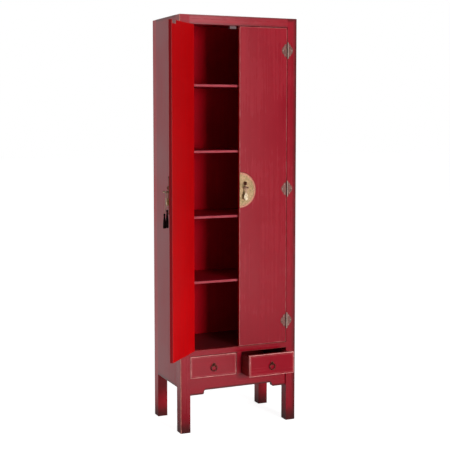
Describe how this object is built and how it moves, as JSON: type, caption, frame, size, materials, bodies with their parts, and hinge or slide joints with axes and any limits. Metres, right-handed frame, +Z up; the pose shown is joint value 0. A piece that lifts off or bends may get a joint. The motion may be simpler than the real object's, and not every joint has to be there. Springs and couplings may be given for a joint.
{
  "type": "two-door wedding cabinet",
  "caption": "Tall narrow red lacquered cabinet on legs: two hinged doors with a round brass lock plate and tassels, shelves inside, and small ring-pull drawers below.",
  "frame": {"origin": "on the floor, in the middle of the rectangle on which the four feet stand; the left door is open 135 degrees and the right drawer is out 80 mm at rest", "axes": "+Z up; the doors and drawers face -Y; +X is to the right of someone who faces the doors"},
  "size_m": [0.6815, 0.5095, 1.8],
  "materials": {
    "red_lacquer": "satin red lacquer on wood, rubbed through along the edges",
    "door_lacquer": "satin red lacquer, brighter and glossier on the inside",
    "dark_stained_wood": "dark maroon stain",
    "polished_brass": "pale brushed brass",
    "aged_brass": "browned brass",
    "dark_bronze": "blackened bronze",
    "strike_steel": "plated steel",
    "catch_plastic": "pale grey moulded plastic",
    "cord_fabric": "tan twisted cord",
    "tassel_silk": "black silk fringe"
  },
  "bodies": {
    "case": {"leg_front_left": "red_lacquer", "leg_rear_left": "red_lacquer", "side_panel_left": "red_lacquer", "leg_front_right": "red_lacquer", "leg_rear_right": "red_lacquer", "side_panel_right": "red_lacquer", "top_rail": "red_lacquer", "middle_rail": "red_lacquer", "drawer_divider": "red_lacquer", "apron": "red_lacquer", "top_board": "red_lacquer", "back_panel": "red_lacquer", "rear_rail": "dark_stained_wood", "drawer_deck": "dark_stained_wood", "drawer_guides": "dark_stained_wood", "shelf_cleats": "dark_stained_wood", "cupboard_floor": "red_lacquer", "shelf_1": "red_lacquer", "shelf_2": "red_lacquer", "shelf_3": "red_lacquer", "shelf_4": "red_lacquer", "catch_left": "catch_plastic", "catch_right": "catch_plastic", "hinge_frame_leaves": "aged_brass", "hinge_pins": "aged_brass", "hinge_frame_nails": "aged_brass"},
    "door_left": {"door_panel_left": "door_lacquer", "hinge_door_leaves_left": "aged_brass", "lock_plate_left": "polished_brass", "lock_lug_left": "dark_bronze", "pull_post_left": "polished_brass", "door_nails_left": "aged_brass", "strike_plate_left": "strike_steel"},
    "pull_left": {"pull_leaf_left": "polished_brass"},
    "drawer_left": {"drawer_front_left": "red_lacquer", "drawer_sides_left": "dark_stained_wood", "drawer_back_left": "dark_stained_wood", "drawer_bottom_left": "dark_stained_wood", "ring_eye_left": "dark_bronze"},
    "ring_left": {"ring_pull_left": "dark_bronze"},
    "door_right": {"door_panel_right": "door_lacquer", "hinge_door_leaves_right": "aged_brass", "lock_plate_right": "polished_brass", "lock_lug_right": "dark_bronze", "pull_post_right": "polished_brass", "door_nails_right": "aged_brass", "strike_plate_right": "strike_steel"},
    "pull_right": {"pull_leaf_right": "polished_brass"},
    "drawer_right": {"drawer_front_right": "red_lacquer", "drawer_sides_right": "dark_stained_wood", "drawer_back_right": "dark_stained_wood", "drawer_bottom_right": "dark_stained_wood", "ring_eye_right": "dark_bronze"},
    "ring_right": {"ring_pull_right": "dark_bronze"},
    "tassel": {"tassel_loop": "cord_fabric", "tassel_cords": "cord_fabric", "tassels": "tassel_silk"}
  },
  "joints": [
    {"name": "door_left_hinge", "type": "hinge", "parent": "case", "child": "door_left", "pos_m": [-0.2315, -0.169, 1.052], "axis": [0, 0, -1], "range_deg": [-135, 40]},
    {"name": "door_right_hinge", "type": "hinge", "parent": "case", "child": "door_right", "pos_m": [0.2315, -0.169, 1.052], "axis": [0, 0, 1], "range_deg": [0, 175]},
    {"name": "pull_left_swing", "type": "hinge", "parent": "door_left", "child": "pull_left", "pos_m": [-0.38636, -0.30618, 1.064], "axis": [-0.7071, 0.7071, 0], "range_deg": [-70, 70]},
    {"name": "pull_right_swing", "type": "hinge", "parent": "door_right", "child": "pull_right", "pos_m": [0.025, -0.1815, 1.064], "axis": [0, -1, 0], "range_deg": [-70, 70]},
    {"name": "tassel_swing", "type": "hinge", "parent": "door_left", "child": "tassel", "pos_m": [-0.39251, -0.30003, 1.064], "axis": [-0.7071, 0.7071, 0], "range_deg": [-60, 60]},
    {"name": "drawer_left_slide", "type": "slide", "parent": "case", "child": "drawer_left", "axis": [0, -1, 0], "range_m": [0, 0.2]},
    {"name": "drawer_right_slide", "type": "slide", "parent": "case", "child": "drawer_right", "axis": [0, -1, 0], "range_m": [-0.08, 0.12]},
    {"name": "ring_left_swing", "type": "hinge", "parent": "drawer_left", "child": "ring_left", "pos_m": [-0.12225, -0.1715, 0.2905], "axis": [-1, 0, 0], "range_deg": [0, 90]},
    {"name": "ring_right_swing", "type": "hinge", "parent": "drawer_right", "child": "ring_right", "pos_m": [0.12225, -0.2515, 0.2905], "axis": [-1, 0, 0], "range_deg": [0, 90]}
  ]
}
